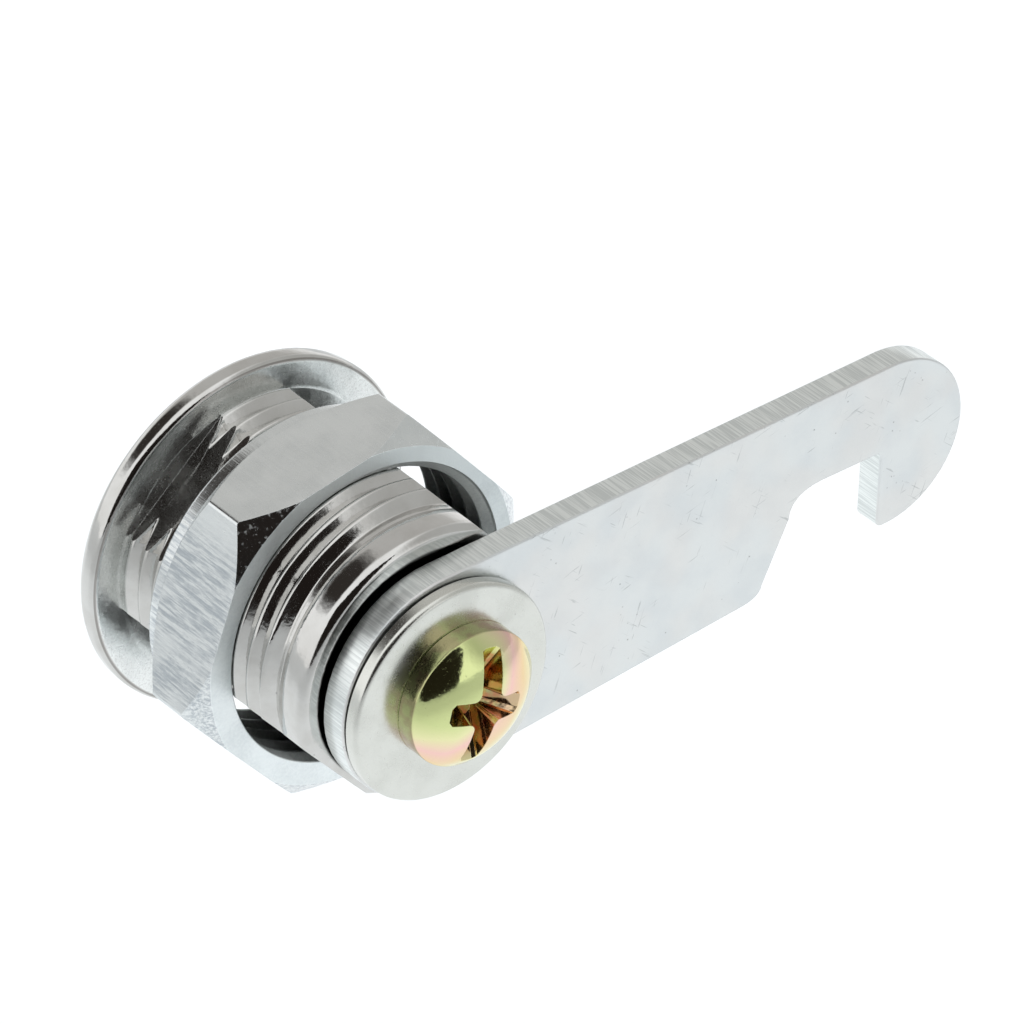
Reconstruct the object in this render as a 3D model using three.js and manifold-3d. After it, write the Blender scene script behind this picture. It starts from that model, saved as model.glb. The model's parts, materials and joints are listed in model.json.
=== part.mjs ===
// A wafer cam lock: threaded housing with a round flange, turning plug with its wafers and
// springs, hex mounting nut, hooked cam, and the washer and screw that hold the cam on.
//
// Units are millimetres and +Z is up. The lock's axis is Y: the key goes in from -Y and the
// cam turns at the +Y end. The origin is on the axis, in the plane of the flange's back
// face, which is the face that lies against the panel. At rest the cam points along -X.
import * as THREE from "three";
import { mergeVertices } from "three/addons/utils/BufferGeometryUtils.js";
import Module from "manifold-3d";

const wasm = await Module();
wasm.setup();

// ---------------------------------------------------------------- driving dimensions

const roundSides = 36; // facets of a full-size round
const smallSides = 24; // facets of a small round
const threadSteps = 18; // facets of one turn of the thread
const edgeSteps = 3; // facets of a rounded edge
const slip = 0.1; // gap between pieces that are clamped face to face
const over = 1; // how far a cutting tool reaches past the face it opens
const far = 20; // further out than any piece

// Housing
const flatsTurn = THREE.MathUtils.degToRad(41); // the housing's flats, turned from the cam's line
const flangeRadius = 11.5;
const flangeRim = 0.85; // straight part of the flange's edge
const flangeThickness = 2.2;
const faceRadius = 9.0; // flat ring of the flange's front
const barrelLength = 16.1;
const threadRadius = 9.4;
const rootRadius = 8.65;
const threadPitch = 1.27;
const threadEnd = 14.0;
const threadRidge = 0.6; // radius of the ridge's rounded crest
const ridgeSides = 6;
const threadRunOut = 0.4; // slope between the last groove and the end band
const footCollar = 0.1; // height of the collar where the thread meets the flange
const endBandRadius = 8.8;
const endEdge = 0.5; // rounding of the barrel's free end
const acrossFlats = 16.0;
const shortFlatHeight = 8.3; // distance of the two short flats from the axis
const shortFlatLength = 6.0;
const boreRadius = 6.4;
const seatRadius = 7.65; // counterbore that the plug's head turns in
const seatDepth = 1.6;
const grooveWidth = 7.6; // grooves that the wafers spring into
const grooveRadius = 7.2;
const grooveStart = 0.5;
const grooveEnd = 10.7;
const retainerGrooveRadius = 7.15;
const retainerGrooveWidth = 1.2;
const stopPocketRadius = 7.4;
const stopPocketDepth = 1.5;

// Plug
const plugRadius = 6.2;
const plugHeadRadius = 7.4;
const plugHeadDepth = 1.3;
const plugStandOut = 0.1; // of its face over the flange's
const keywayWidth = 2.2;
const keywayHeight = 8.2;
const keywayDepth = 11.0;
const keyWardWidth = 0.8;
const shankSize = 7.2; // square end that drives the cam
const shankEnd = 18.1;
const stopLugWidth = 3.0;
const stopLugRadius = 7.1;
const stopLugGap = 0.3; // over the pocket's floor
const stopPlay = THREE.MathUtils.degToRad(3);
const quarterTurn = Math.PI / 2;

// Wafers and their springs
const waferCount = 7;
const waferPitch = 1.5;
const firstWafer = 1.2; // centre of the first wafer, from the panel plane
const waferThickness = 0.6;
const waferWidth = 6.8;
const waferRadius = 6.05;
const waferSlot = 0.9;
const slotSideGap = 0.15; // between a wafer's side and its slot
const windowWidth = 2.9;
const windowHeight = 5.4;
const windowStep = 0.3; // difference between two neighbouring key cuts
const keyCuts = [1, 3, 0, 2, 3, 1, 2];
const middleCut = 1.5;
const earReach = 4.8;
const earLow = 1.5;
const earHigh = 2.3;
const retainerStandOut = 0.6;
const springX = 4.15;
const springLow = -2.3;
const springPocket = 1.1;
const springPocketReach = 5.1;
const springPocketTop = 3.4;
const springCoilRadius = 0.32;
const springWire = 0.09;
const springTurns = 4;
const springEndGap = 0.05; // left under and over a spring
const springSteps = 8; // facets of one turn of a spring
const wireSides = 4;

// Cam
const camBack = 16.4;
const camThickness = 1.8;
const camRound = 7.4; // radius of the end about the screw
const camRoundX = 0.1; // its centre, a little off the axis
const camRoundZ = -0.2;
const hookCentreX = -33.65;
const hookCentreZ = 1.9;
const hookRadius = 5.75;
const hookInnerX = -33.0;
const hookTipRound = 0.55;
const notchTop = 1.6;
const notchCornerRound = 0.35;
const notchEndX = -25.9; // where the notch turns down along the neck
const notchBend = 2.6; // length of the notch's rounded inner corner
const notchBendDrop = 1.7;
const neckX = -24.0;
const camLowerZ = -6.74; // height of the lower edge's line at the axis
const camLowerSlope = 0.078;
const camCornerRadius = 1.6;
const camHoleSize = 7.6;

// Nut
const nutAcrossFlats = 21.5;
const nutCornerRadius = nutAcrossFlats / Math.sqrt(3);
const nutTurn = THREE.MathUtils.degToRad(49.3); // first corner, from +X towards +Z
const nutBack = 3.9; // face towards the flange
const nutFront = 10.6; // face towards the cam
const nutCollarHeight = 1.15;
const nutCollarRadius = 10.45;
const nutFaceRadius = 11.05;
const nutBoreRadius = 9.65;
const nutCountersink = 0.35;

// Washer and screw
const washerRadius = 7.05;
const washerHole = 3.0;
const washerThickness = 0.95;
const washerEdge = 0.35; // rounding of its front edge
const washerShiftX = 0.4; // the washer sits a little off the screw's centre
const washerShiftZ = -0.18;
const screwHeadRadius = 4.38;
const screwHeadSide = 0.8; // straight part of the head's side
const screwDomeHeight = 1.95;
const screwUnderEdge = 0.15;
const screwRadius = 1.95;
const screwLength = 6.0;
const screwHoleRadius = 2.15;
const screwTip = 0.4; // chamfer of the screw's end
const recessTurn = THREE.MathUtils.degToRad(103); // long arms, from +X towards +Z
const recessWidth = 1.4;
const recessLongReach = 3.6; // where the arms run out on the head's dome
const recessShortReach = 2.45;
const recessDepth = 2.1;

// ---------------------------------------------------------------- shaping helpers

/** Turns a closed three.js geometry into a solid that can be joined and cut. */
function solidOf(geometry) {
  const bare = geometry.clone();
  bare.deleteAttribute("normal");
  bare.deleteAttribute("uv");
  const merged = mergeVertices(bare, 1e-4);
  const mesh = new wasm.Mesh({
    numProp: 3,
    vertProperties: merged.getAttribute("position").array,
    triVerts: new Uint32Array(merged.index.array),
  });
  return new wasm.Manifold(mesh);
}

/** Turns a solid back into a geometry for a mesh. */
function geometryOf(solid) {
  const mesh = solid.getMesh();
  const geometry = new THREE.BufferGeometry();
  geometry.setAttribute("position", new THREE.BufferAttribute(mesh.vertProperties, 3));
  geometry.setIndex(new THREE.BufferAttribute(mesh.triVerts, 1));
  geometry.computeVertexNormals();
  return geometry;
}

function joined(first, ...others) {
  return others.reduce((body, other) => body.add(solidOf(other)), solidOf(first));
}

function cut(body, ...tools) {
  return tools.reduce((left, tool) => left.subtract(solidOf(tool)), body);
}

/** A round about the Y axis from a closed profile of [radius, y] pairs. */
function turned(profile, sides = roundSides) {
  const points = profile.map(([radius, y]) => new THREE.Vector2(radius, y));
  return new THREE.LatheGeometry(points, sides);
}

/** A round bar on the Y axis between two stations. */
function bar(radius, from, to, sides = roundSides) {
  const geometry = new THREE.CylinderGeometry(radius, radius, to - from, sides);
  return geometry.translate(0, (from + to) / 2, 0);
}

/** An outline drawn in X and Z, given a thickness along Y. */
function plate(shape, from, to, curveSegments = 8) {
  const settings = { depth: to - from, bevelEnabled: false, curveSegments };
  const geometry = new THREE.ExtrudeGeometry(shape, settings);
  return geometry.rotateX(Math.PI / 2).translate(0, to, 0);
}

/** A box between two opposite corners. */
function block(low, high) {
  const size = high.map((value, axis) => value - low[axis]);
  const middle = high.map((value, axis) => (value + low[axis]) / 2);
  return new THREE.BoxGeometry(...size).translate(...middle);
}

/** Points of an arc as [a, b] pairs about a centre, ends included. */
function arc(centreA, centreB, radius, fromDegrees, toDegrees, steps) {
  return Array.from({ length: steps + 1 }, (_, i) => {
    const degrees = fromDegrees + ((toDegrees - fromDegrees) * i) / steps;
    const angle = THREE.MathUtils.degToRad(degrees);
    return [centreA + radius * Math.cos(angle), centreB + radius * Math.sin(angle)];
  });
}

function circleShape(radius, sides) {
  const shape = new THREE.Shape();
  for (let i = 0; i < sides; i += 1) {
    const angle = (2 * Math.PI * i) / sides;
    const x = radius * Math.cos(angle);
    const y = radius * Math.sin(angle);
    if (i === 0) shape.moveTo(x, y);
    else shape.lineTo(x, y);
  }
  shape.closePath();
  return shape;
}

/** A right-handed helix that climbs along +Y. */
class Helix extends THREE.Curve {
  constructor(radius, pitch, turns) {
    super();
    this.radius = radius;
    this.pitch = pitch;
    this.turns = turns;
  }

  getPoint(t, target = new THREE.Vector3()) {
    const angle = 2 * Math.PI * this.turns * t;
    const x = this.radius * Math.sin(angle);
    const z = this.radius * Math.cos(angle);
    return target.set(x, this.pitch * this.turns * t, z);
  }
}

/** A wire or ridge of round section that follows a helix about Y, starting at y = 0. */
function coil(radius, wire, pitch, turns, stepsPerTurn, wireSides) {
  const settings = {
    steps: Math.round(turns * stepsPerTurn),
    bevelEnabled: false,
    extrudePath: new Helix(radius, pitch, turns),
  };
  return new THREE.ExtrudeGeometry(circleShape(wire, wireSides), settings);
}

// ---------------------------------------------------------------- materials

function metal(colour, roughness, metalness = 1) {
  return new THREE.MeshStandardMaterial({ color: colour, roughness, metalness });
}

const materials = {
  chrome: metal(0xd8d8d6, 0.12),
  zincNut: metal(0xc4c9c8, 0.3),
  zincCam: metal(0xd3dbdb, 0.38),
  zincWasher: metal(0xd2d3ce, 0.42),
  yellowZinc: metal(0xc9bd7c, 0.24),
  castZinc: metal(0x9fa1a2, 0.45),
  brass: metal(0xb08d4f, 0.35),
  springSteel: metal(0x8d8f92, 0.3),
};

// ---------------------------------------------------------------- housing

const waferStations = Array.from({ length: waferCount }, (_, i) => firstWafer + i * waferPitch);
const retainerStation = firstWafer + waferCount * waferPitch + slip;
const camFront = camBack + camThickness;
const washerBack = camFront + slip;
const washerFront = washerBack + washerThickness;
const headBack = washerFront + slip;

/** Flange, thread core and end band, as one turned body. */
function housingBlank() {
  const domeSteps = 5;
  const domeDepth = flangeThickness - flangeRim;
  const dome = Array.from({ length: domeSteps + 1 }, (_, i) => {
    const angle = (quarterTurn * i) / domeSteps;
    const radius = faceRadius + (flangeRadius - faceRadius) * Math.sin(angle);
    return [radius, -flangeRim - domeDepth * Math.cos(angle)];
  });
  const edgeCentre = endBandRadius - endEdge;
  const freeEnd = arc(edgeCentre, barrelLength - endEdge, endEdge, 0, 90, edgeSteps);
  return turned([
    [0, -flangeThickness],
    ...dome,
    [flangeRadius, 0],
    [threadRadius, 0],
    [threadRadius, footCollar],
    [rootRadius, footCollar],
    [rootRadius, threadEnd - threadRunOut],
    [endBandRadius, threadEnd],
    ...freeEnd,
    [0, barrelLength],
  ]);
}

/** The two long flats and the two short ones, as boxes to cut away. */
function flatCutters() {
  const half = acrossFlats / 2;
  return [
    block([half, 0, -far], [far, far, far]),
    block([-far, 0, -far], [-half, far, far]),
    block([-far, 0, shortFlatHeight], [far, shortFlatLength, far]),
    block([-far, 0, -far], [far, shortFlatLength, -shortFlatHeight]),
  ];
}

/** Lengthwise grooves that the wafers stand in when the key is out, a quarter turn apart. */
function waferGrooves() {
  const half = grooveWidth / 2;
  const tool = [];
  for (let side = 0; side < 4; side += 1) {
    const end = side === 2 ? barrelLength + over : grooveEnd;
    const groove = block([-half, grooveStart, 0], [half, end, grooveRadius]);
    tool.push(groove.rotateY(side * quarterTurn));
  }
  return tool;
}

/** The pocket in the free end in which the plug's stop lug sweeps a quarter turn. */
function stopPocket() {
  const lugHalf = Math.asin(stopLugWidth / 2 / plugRadius);
  const from = -Math.PI - lugHalf - stopPlay;
  const to = -quarterTurn + lugHalf + stopPlay;
  const shape = new THREE.Shape();
  shape.moveTo(0, 0);
  shape.lineTo(stopPocketRadius * Math.cos(from), stopPocketRadius * Math.sin(from));
  shape.absarc(0, 0, stopPocketRadius, from, to, false);
  shape.closePath();
  return plate(shape, barrelLength - stopPocketDepth, barrelLength + over, 12);
}

function makeHousing() {
  const ridgeTurns = (threadEnd - threadRunOut) / threadPitch;
  const ridgePath = threadRadius - threadRidge;
  const ridge = coil(ridgePath, threadRidge, threadPitch, ridgeTurns, threadSteps, ridgeSides);
  ridge.translate(0, slip, 0);
  const nearFlange = block([-far, -over, -far], [far, 0, far]);
  const thread = cut(solidOf(ridge), nearFlange);
  const blank = solidOf(housingBlank()).add(thread);
  const bore = bar(boreRadius, -flangeThickness - over, barrelLength + over);
  const seat = bar(seatRadius, -flangeThickness - over, -flangeThickness + seatDepth);
  const retainerGroove = bar(
    retainerGrooveRadius,
    retainerStation - retainerGrooveWidth / 2,
    retainerStation + retainerGrooveWidth / 2,
  );
  const tools = [...flatCutters(), bore, seat, retainerGroove, ...waferGrooves(), stopPocket()];
  return cut(blank, ...tools);
}

// ---------------------------------------------------------------- plug

/** Key slot with one step in its side, as a shape in X and Z. */
function keywayShape() {
  const half = keywayWidth / 2;
  const top = keywayHeight / 2;
  const shape = new THREE.Shape();
  shape.moveTo(-half, -top);
  shape.lineTo(half, -top);
  shape.lineTo(half, -top / 3);
  shape.lineTo(half - keyWardWidth, -top / 6);
  shape.lineTo(half - keyWardWidth, top / 6);
  shape.lineTo(half, top / 3);
  shape.lineTo(half, top);
  shape.lineTo(-half, top);
  shape.closePath();
  return shape;
}

/** The slot for one wafer, with the pocket beside it for its spring. */
function waferSlotCutters(station) {
  const halfWidth = waferWidth / 2 + slotSideGap;
  const halfSlot = waferSlot / 2;
  const halfPocket = springPocket / 2;
  return [
    block([-halfWidth, station - halfSlot, -far], [halfWidth, station + halfSlot, far]),
    block(
      [halfWidth - slip, station - halfPocket, springLow - springEndGap],
      [springPocketReach, station + halfPocket, springPocketTop],
    ),
  ];
}

function makePlug() {
  const frontFace = -flangeThickness - plugStandOut;
  const head = bar(plugHeadRadius, frontFace, frontFace + plugHeadDepth);
  const body = bar(plugRadius, frontFace + plugHeadDepth / 2, barrelLength);
  const half = shankSize / 2;
  const shank = block([-half, barrelLength - 1, -half], [half, shankEnd, half]);
  shank.rotateY(-flatsTurn);
  const lug = block(
    [-stopLugWidth / 2, barrelLength - stopPocketDepth + stopLugGap, -stopLugRadius],
    [stopLugWidth / 2, barrelLength, -plugRadius / 2],
  );
  const keyway = plate(keywayShape(), frontFace - over, keywayDepth);
  const screwBottom = headBack - screwLength - screwTip;
  const screwHole = bar(screwHoleRadius, screwBottom, shankEnd + over, smallSides);
  const slots = [...waferStations, retainerStation].flatMap(waferSlotCutters);
  return cut(joined(head, body, shank, lug), keyway, screwHole, ...slots);
}

// ---------------------------------------------------------------- wafers and springs

/** A wafer's outline: rounded ends, straight sides and the ear that its spring lifts. */
function waferShape(standOut) {
  const half = waferWidth / 2;
  const reach = Math.asin(half / waferRadius);
  const low = -Math.sqrt(waferRadius ** 2 - half ** 2);
  const shape = new THREE.Shape();
  shape.moveTo(-half, low);
  shape.absarc(0, 0, waferRadius, -quarterTurn - reach, -quarterTurn + reach, false);
  shape.lineTo(half, earLow);
  shape.lineTo(earReach, earLow);
  shape.lineTo(earReach, earHigh);
  shape.lineTo(half, earHigh);
  shape.absarc(0, standOut, waferRadius, quarterTurn - reach, quarterTurn + reach, false);
  shape.closePath();
  return shape;
}

/** The window that the key passes through, at a height set by the key's cut. */
function waferWindow(centre) {
  const half = windowWidth / 2;
  const hole = new THREE.Path();
  hole.moveTo(-half, centre - windowHeight / 2);
  hole.lineTo(-half, centre + windowHeight / 2);
  hole.lineTo(half, centre + windowHeight / 2);
  hole.lineTo(half, centre - windowHeight / 2);
  hole.closePath();
  return hole;
}

function makeWafer(station, keyCut) {
  const shape = waferShape(0);
  shape.holes.push(waferWindow((keyCut - middleCut) * windowStep));
  return solidOf(plate(shape, station - waferThickness / 2, station + waferThickness / 2));
}

function makeRetainer() {
  const half = waferThickness / 2;
  return solidOf(plate(waferShape(retainerStandOut), retainerStation - half, retainerStation + half));
}

/** A spring stands on its pocket's floor and ends just under the wafer's ear. */
function makeSpring(station) {
  const height = earLow - springLow - 2 * springWire - 3 * springEndGap;
  const pitch = height / springTurns;
  const wire = coil(springCoilRadius, springWire, pitch, springTurns, springSteps, wireSides);
  wire.rotateX(Math.PI / 2).translate(springX, station, springLow + springWire + springEndGap);
  return solidOf(wire);
}

// ---------------------------------------------------------------- cam

/** Height of the cam's straight lower edge. */
function lowerEdgeAt(x) {
  return camLowerZ - camLowerSlope * x;
}

/** Where the lower edge runs into the round end. */
function lowerEdgeMeetsRound() {
  const drop = camLowerZ - camRoundZ;
  const a = 1 + camLowerSlope ** 2;
  const b = -camRoundX - drop * camLowerSlope;
  const c = camRoundX ** 2 + drop ** 2 - camRound ** 2;
  return (-b - Math.sqrt(b ** 2 - a * c)) / a;
}

/** The notch behind the hook and the neck's corner, from the hook's tip to the lower edge. */
function drawNotch(shape) {
  const tip = hookCentreZ - hookRadius;
  shape.lineTo(hookInnerX - hookTipRound, tip);
  shape.quadraticCurveTo(hookInnerX, tip, hookInnerX, tip + hookTipRound);
  shape.lineTo(hookInnerX, notchTop - notchCornerRound);
  shape.quadraticCurveTo(hookInnerX, notchTop, hookInnerX + notchCornerRound, notchTop);
  shape.lineTo(notchEndX - notchBend, notchTop);
  shape.quadraticCurveTo(notchEndX - slip, notchTop, notchEndX, notchTop - notchBendDrop);
  const neckFoot = neckX + camCornerRadius;
  shape.lineTo(neckX, lowerEdgeAt(neckX) + camCornerRadius / 2);
  shape.quadraticCurveTo(neckX + slip, lowerEdgeAt(neckX), neckFoot, lowerEdgeAt(neckFoot));
}

/** The cam's outline, from the top of its round end to the hook and back underneath. */
function camShape() {
  const meetX = lowerEdgeMeetsRound();
  const meetAngle = Math.atan2(lowerEdgeAt(meetX) - camRoundZ, meetX - camRoundX);
  const half = camHoleSize / 2;
  const shape = new THREE.Shape();
  shape.moveTo(camRoundX, camRoundZ + camRound);
  shape.lineTo(hookCentreX, hookCentreZ + hookRadius);
  shape.absarc(hookCentreX, hookCentreZ, hookRadius, quarterTurn, 3 * quarterTurn, false);
  drawNotch(shape);
  shape.lineTo(meetX, lowerEdgeAt(meetX));
  shape.absarc(camRoundX, camRoundZ, camRound, meetAngle, quarterTurn, false);
  const hole = new THREE.Path();
  hole.moveTo(-half, -half);
  hole.lineTo(-half, half);
  hole.lineTo(half, half);
  hole.lineTo(half, -half);
  hole.closePath();
  shape.holes.push(hole);
  return shape;
}

function makeCam() {
  return solidOf(plate(camShape(), camBack, camFront, 16));
}

// ---------------------------------------------------------------- nut

/** The nut's turned outside: a round collar, and chamfers that cut its corners back. */
function nutTurning() {
  const bodyBack = nutBack + nutCollarHeight;
  const wide = nutCornerRadius + slip;
  return turned([
    [0, nutBack],
    [nutCollarRadius, nutBack],
    [nutCollarRadius, bodyBack],
    [nutAcrossFlats / 2, bodyBack],
    [wide, bodyBack + wide - nutAcrossFlats / 2],
    [wide, nutFront - wide + nutFaceRadius],
    [nutFaceRadius, nutFront],
    [0, nutFront],
  ]);
}

/** The nut's round hole, countersunk at both ends. */
function nutBore() {
  const wide = nutBoreRadius + nutCountersink + over;
  return turned([
    [0, nutBack - over],
    [wide, nutBack - over],
    [nutBoreRadius, nutBack + nutCountersink],
    [nutBoreRadius, nutFront - nutCountersink],
    [wide, nutFront + over],
    [0, nutFront + over],
  ]);
}

function makeNut() {
  const height = nutFront - nutBack;
  const hexagon = new THREE.CylinderGeometry(nutCornerRadius, nutCornerRadius, height, 6);
  hexagon.rotateY(quarterTurn - nutTurn).translate(0, (nutFront + nutBack) / 2, 0);
  return cut(solidOf(hexagon).intersect(solidOf(nutTurning())), nutBore());
}

// ---------------------------------------------------------------- washer and screw

function makeWasher() {
  const ring = turned([
    [washerHole, washerBack],
    [washerRadius, washerBack],
    ...arc(washerRadius - washerEdge, washerFront - washerEdge, washerEdge, 0, 90, edgeSteps),
    [washerHole, washerFront],
    [washerHole, washerBack],
  ]);
  return solidOf(ring.translate(washerShiftX, 0, washerShiftZ));
}

/** Height of the head's dome at a distance from the screw's axis. */
function domeAt(radius) {
  const rise = screwDomeHeight * Math.sqrt(1 - (radius / screwHeadRadius) ** 2);
  return headBack + screwHeadSide + rise;
}

/** Two opposite arms of the cross recess, which slope down to its floor. */
function recessArms(reach, turn) {
  const floor = domeAt(0) - recessDepth;
  const floorReach = reach / 3;
  const run = (reach - floorReach) / (domeAt(reach) - floor);
  const above = domeAt(0) + over;
  const wide = floorReach + run * (above - floor);
  const shape = new THREE.Shape();
  shape.moveTo(-wide, above);
  shape.lineTo(-floorReach, floor);
  shape.lineTo(floorReach, floor);
  shape.lineTo(wide, above);
  shape.closePath();
  const arms = new THREE.ExtrudeGeometry(shape, { depth: recessWidth, bevelEnabled: false });
  return arms.translate(0, 0, -recessWidth / 2).rotateY(-turn);
}

function makeScrew() {
  const domeSteps = 6;
  const dome = Array.from({ length: domeSteps }, (_, i) => {
    const radius = screwHeadRadius * Math.cos((quarterTurn * i) / domeSteps);
    return [radius, domeAt(radius)];
  });
  const end = headBack - screwLength;
  const body = turned(
    [
      [0, end],
      [screwRadius - screwTip, end],
      [screwRadius, end + screwTip],
      [screwRadius, headBack],
      [screwHeadRadius - screwUnderEdge, headBack],
      ...dome,
      [0, domeAt(0)],
    ],
    smallSides,
  );
  const longArms = recessArms(recessLongReach, recessTurn);
  const shortArms = recessArms(recessShortReach, recessTurn + quarterTurn);
  return cut(solidOf(body), longArms, shortArms);
}

// ---------------------------------------------------------------- assembly

const camLock = new THREE.Group();
const housingFrame = new THREE.Group();
housingFrame.rotation.y = flatsTurn;
const plugFrame = new THREE.Group();
plugFrame.rotation.y = flatsTurn;
camLock.add(housingFrame, plugFrame);

function place(parent, name, solid, material) {
  const mesh = new THREE.Mesh(geometryOf(solid), material);
  mesh.name = name;
  parent.add(mesh);
}

place(housingFrame, "housing", makeHousing(), materials.chrome);
place(plugFrame, "plug", makePlug(), materials.castZinc);
waferStations.forEach((station, i) => {
  place(plugFrame, `wafer_${i + 1}`, makeWafer(station, keyCuts[i]), materials.brass);
  place(plugFrame, `wafer_spring_${i + 1}`, makeSpring(station), materials.springSteel);
});
place(plugFrame, "retainer_wafer", makeRetainer(), materials.brass);
place(plugFrame, "retainer_spring", makeSpring(retainerStation), materials.springSteel);
place(camLock, "mounting_nut", makeNut(), materials.zincNut);
place(camLock, "cam", makeCam(), materials.zincCam);
place(camLock, "cam_washer", makeWasher(), materials.zincWasher);
place(camLock, "cam_screw", makeScrew(), materials.yellowZinc);

export default camLock;
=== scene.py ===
"""Looks of the cam lock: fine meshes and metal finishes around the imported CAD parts."""

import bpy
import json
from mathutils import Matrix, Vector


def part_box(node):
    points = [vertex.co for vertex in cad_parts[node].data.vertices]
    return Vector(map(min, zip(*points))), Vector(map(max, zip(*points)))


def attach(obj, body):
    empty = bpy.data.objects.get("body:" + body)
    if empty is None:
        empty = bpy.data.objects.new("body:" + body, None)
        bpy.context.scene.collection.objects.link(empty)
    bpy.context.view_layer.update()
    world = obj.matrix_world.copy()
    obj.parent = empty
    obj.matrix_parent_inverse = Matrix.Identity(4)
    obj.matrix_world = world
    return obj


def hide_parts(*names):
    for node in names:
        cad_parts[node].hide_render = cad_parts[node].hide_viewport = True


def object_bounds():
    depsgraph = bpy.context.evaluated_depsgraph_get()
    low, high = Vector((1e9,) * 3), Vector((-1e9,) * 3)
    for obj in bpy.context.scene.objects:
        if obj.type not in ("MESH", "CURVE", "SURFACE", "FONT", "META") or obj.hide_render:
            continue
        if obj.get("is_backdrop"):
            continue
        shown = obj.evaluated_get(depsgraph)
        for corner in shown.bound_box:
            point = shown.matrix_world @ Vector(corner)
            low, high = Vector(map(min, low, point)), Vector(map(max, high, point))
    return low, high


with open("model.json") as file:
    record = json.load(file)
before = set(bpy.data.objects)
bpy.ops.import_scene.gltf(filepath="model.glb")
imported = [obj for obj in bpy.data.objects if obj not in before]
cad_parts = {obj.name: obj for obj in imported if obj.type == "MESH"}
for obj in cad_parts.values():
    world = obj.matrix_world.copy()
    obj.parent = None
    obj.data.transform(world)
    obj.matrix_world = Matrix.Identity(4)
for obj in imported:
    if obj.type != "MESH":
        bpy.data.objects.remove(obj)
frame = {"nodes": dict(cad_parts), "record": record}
low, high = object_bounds()

import json
from math import asin, cos, pi, radians, sin, sqrt, tau

import bmesh
import bpy
from mathutils import Matrix, Vector

# ------------------------------------------------------------------ sizes, in millimetres

MM = 0.001


def box_mm(node):
    """Lowest and highest corner of a CAD node, in millimetres."""
    lowest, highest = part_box(node)
    return Vector(lowest) / MM, Vector(highest) / MM


housing_low, housing_high = box_mm("housing")
nut_low, nut_high = box_mm("mounting_nut")
cam_low, cam_high = box_mm("cam")
washer_low, washer_high = box_mm("cam_washer")
screw_low, screw_high = box_mm("cam_screw")

FLATS_TURN = radians(49)  # direction of the first short flat, from +X towards +Z
HELIX_START = FLATS_TURN + pi  # the helical rows start again here, away from the camera
FLANGE_FRONT = housing_low.y
FLANGE_RADIUS = housing_high.x
FLANGE_RIM = 0.85  # thickness of the flange at its rim
RIM_ROUND = 0.45
BACK_ROWS = (0.25, 0.03)  # of the flange's flat back, measured out from the thread
FACE_RADIUS = 9.0  # where the flat face ends and the dome starts
BARREL_END = housing_high.y
SEAT_RADIUS = 7.65
SEAT_DEPTH = 1.6
SEAT_EDGE = 0.15
BORE_RADIUS = 6.4
THREAD_RADIUS = 9.4
ROOT_RADIUS = 8.65
PITCH = 1.27
CREST_ROUND = 0.22
ROOT_ROUND = 0.13
THREAD_FLANK = radians(60)
THREAD_START = 0.02
FIRST_CREST = 0.2 + PITCH / 2  # height of the first crest where the helix starts
THREAD_FADE = 13.0  # where the thread starts to run out
THREAD_GONE = 13.7
BAND_START = 13.95
THREAD_END = BAND_START - 0.06
BAND_RADIUS = 8.8
BAND_EDGE = 0.65
BAND_CORNER = ((0.05, 0.04), (0, 0.12))  # inset and height of the rounding by the thread
LONG_FLATS = 8.0
SHORT_FLATS = 8.3
SHORT_FLAT_END = 6.0
FLATS_START = 0.01
GROOVE_HALF_WIDTH = 3.8  # of the grooves in the bore that the wafers spring into
GROOVE_RADIUS = 7.2
GROOVE_START = 0.5
GROOVE_END = 10.7
RETAINER_GROOVE = ((7.15, 11.2), (7.15, 12.4))  # radius and height of its two ends
POCKET_RADIUS = 7.4  # of the pocket in the end face that the stop lug turns in
POCKET_DEPTH = 1.5
POCKET_START = radians(122)
POCKET_END = radians(246)

NUT_BACK = nut_low.y
NUT_FRONT = nut_high.y
NUT_FLATS = 21.5 / 2  # from the axis to a flat side
NUT_CORNER = radians(49.3)
NUT_COLLAR = 1.15  # depth of the round collar on the nut's back
NUT_COLLAR_RADIUS = 10.45
NUT_FACE_RADIUS = 11.05
NUT_CORNER_ROUND = 0.3
NUT_COLLAR_ROUND = 0.25
NUT_FACE_EDGE = 0.08
NUT_BORE = 9.6
NUT_ROOT = 10.2  # a little outside the root of its thread
NUT_THREAD_DEPTH = 0.55  # before it is flattened
NUT_THREAD_FLATNESS = 0.75
NUT_SINK = 0.1  # of the bore's two mouths

WASHER_HOLE = 3.0
WASHER_EDGE = 0.33
WASHER_FOOT = 0.12
WASHER_HOLE_EDGE = 0.05
WASHER_FACE = 1.6  # where the flat face starts, measured in from the rim

HEAD_BACK = washer_high.y + 0.02
HEAD_RADIUS = screw_high.x
HEAD_SIDE = 0.8  # height of the head's straight side
HEAD_TOP = screw_high.y
HEAD_EDGE = HEAD_RADIUS - 0.08
HEAD_RIM = ((0, 0.12), (0.02, 0.04))  # inset and drop of the rounding below the dome
HEAD_CHAMFER = 0.06
HEAD_BULGE = 2.33  # half-axes of the dome's ellipse, along and across the screw
BULGE_RADIUS = 4.6
SHANK_RADIUS = 1.95
SHANK_CHAMFER = 0.4
RECESS_DEPTH = 2.1
RECESS_TURN = radians(103)  # direction of a long arm, from +X towards +Z
LONG_ARM = 3.7  # reach of the recess on the dome
SHORT_ARM = 2.55
LONG_ARM_FLOOR = 1.3  # reach at the recess's floor
SHORT_ARM_FLOOR = 1.0

COLUMNS = 240  # steps round a full-size turned surface
SMALL_COLUMNS = 144
OVER = 1  # how far a cutting tool reaches past the face that it opens
FAR = 20  # further out than any turned piece
CORE = 0.5  # radius of the closed middle of a turned tool


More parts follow.
